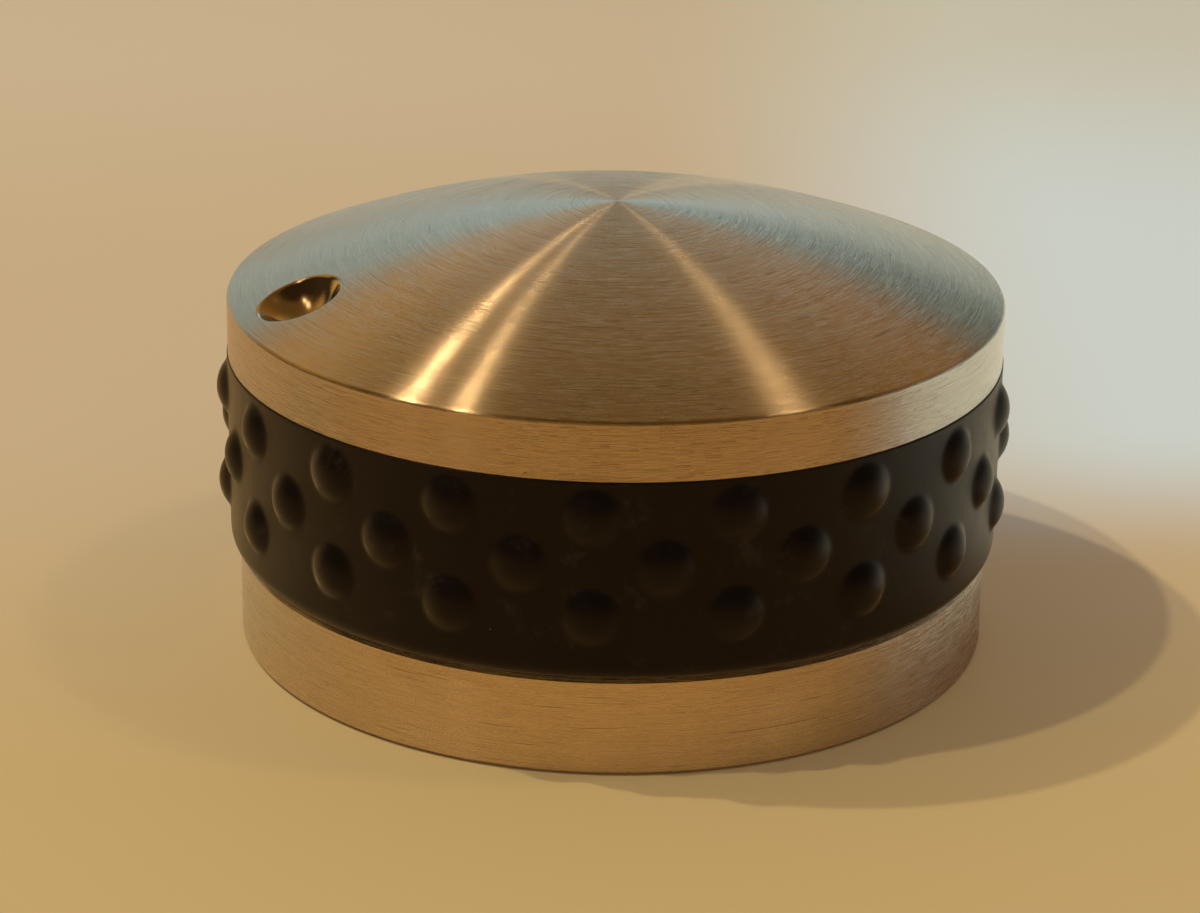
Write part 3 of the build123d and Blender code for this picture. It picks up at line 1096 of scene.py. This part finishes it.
def add_lamp(stage, name, compass, elevation, across, power, shine, colour):
    """Round soft lamp that faces the knob. Its compass angle is counted from the camera
    towards the camera's right. It lights matt surfaces, and what it adds to a reflection is
    a share of that."""
    towards, right = bearings(stage)
    level = math.cos(compass) * towards + math.sin(compass) * right
    out = math.cos(elevation) * level + math.sin(elevation) * Vector((0, 0, 1))
    for part, energy in (("matt", power), ("shine", power * shine)):
        data = bpy.data.lights.new(f"{name}_{part}", "AREA")
        data.shape = "DISK"
        data.size = across
        data.energy = energy
        data.color = colour if part == "matt" else stage.shine_colour
        lamp = placed(data.name, data)
        lamp.location = out * stage.lamp_distance
        lamp.rotation_mode = "QUATERNION"
        lamp.rotation_quaternion = (-out).to_track_quat("-Z", "Y")
        lamp.visible_camera = False
        lamp.visible_glossy = part == "shine"
        lamp.visible_diffuse = part == "matt"


def add_camera(stage, scene):
    """Camera at the height of someone who looks down at the knob on a table."""
    towards, right = bearings(stage)
    rise = math.cos(stage.elevation) * towards + math.sin(stage.elevation) * Vector((0, 0, 1))
    aim = Vector((0, 0, stage.aim_height)) - right * stage.aim_left
    data = bpy.data.cameras.new("camera")
    data.lens = stage.lens
    data.clip_start = 0.01
    camera = placed("camera", data)
    camera.location = rise * stage.distance
    look = (aim - camera.location).to_track_quat("-Z", "Y")
    lean = Matrix.Rotation(stage.roll, 4, "Z").to_quaternion()
    camera.rotation_mode = "QUATERNION"
    camera.rotation_quaternion = look @ lean
    scene.camera = camera


class KNOB_OT_stage(bpy.types.Operator):
    """Add the floor, the lamps, the surroundings and the camera"""

    bl_idname = "knob.stage"
    bl_label = "Stage"

    def execute(self, context):
        stage = context.scene.knob_stage
        add_floor(stage)
        add_surroundings(stage, context.scene)
        lamps = (
            # name, compass and elevation in degrees, width, power, shine, colour
            ("lamp_left_back", -100, 58.8, 0.022, 1.60, 0.50, stage.lamp_colour),
            ("lamp_left_front", -72, 62, 0.022, 1.40, 0.60, stage.lamp_colour),
            ("lamp_right", 88, 61.5, 0.075, 0.42, 1.65, stage.side_colour),
        )
        for name, compass, elevation, *light in lamps:
            add_lamp(stage, name, math.radians(compass), math.radians(elevation), *light)
        add_camera(stage, context.scene)
        context.scene.view_settings.view_transform = "Standard"
        return {"FINISHED"}


# ---- Add-on ----

class KNOB_PT_panel(bpy.types.Panel):
    """Sidebar panel that builds the knob piece by piece"""

    bl_idname = "KNOB_PT_panel"
    bl_label = "Stove knob"
    bl_space_type = "VIEW_3D"
    bl_region_type = "UI"
    bl_category = "Knob"

    def draw(self, context):
        for settings in SETTINGS:
            box = self.layout.box()
            group = getattr(context.scene, settings)
            for name in group.__annotations__:
                box.prop(group, name)
        for operator in OPERATORS:
            self.layout.operator(operator.bl_idname)


SETTINGS = {
    "knob_cap": CapSettings,
    "knob_sleeve": SleeveSettings,
    "knob_ring": RingSettings,
    "knob_insert": InsertSettings,
    "knob_stage": StageSettings,
}
OPERATORS = (
    KNOB_OT_cap,
    KNOB_OT_grip_sleeve,
    KNOB_OT_foot_ring,
    KNOB_OT_spindle_insert,
    KNOB_OT_spring_clip,
    KNOB_OT_insert_screws,
    KNOB_OT_stage,
)


def register():
    """Register the settings, the operators and the panel."""
    for name, group in SETTINGS.items():
        bpy.utils.register_class(group)
        setattr(bpy.types.Scene, name, PointerProperty(type=group))
    for made in (*OPERATORS, KNOB_PT_panel):
        bpy.utils.register_class(made)


def unregister():
    """Take out what register() added."""
    for made in (KNOB_PT_panel, *reversed(OPERATORS)):
        bpy.utils.unregister_class(made)
    for name, group in reversed(SETTINGS.items()):
        delattr(bpy.types.Scene, name)
        bpy.utils.unregister_class(group)


def main():
    register()
    bpy.ops.knob.cap()
    bpy.ops.knob.grip_sleeve()
    bpy.ops.knob.foot_ring()
    bpy.ops.knob.spindle_insert()
    bpy.ops.knob.spring_clip()
    bpy.ops.knob.insert_screws()
    bpy.ops.knob.stage()


if __name__ == "__main__":
    main()
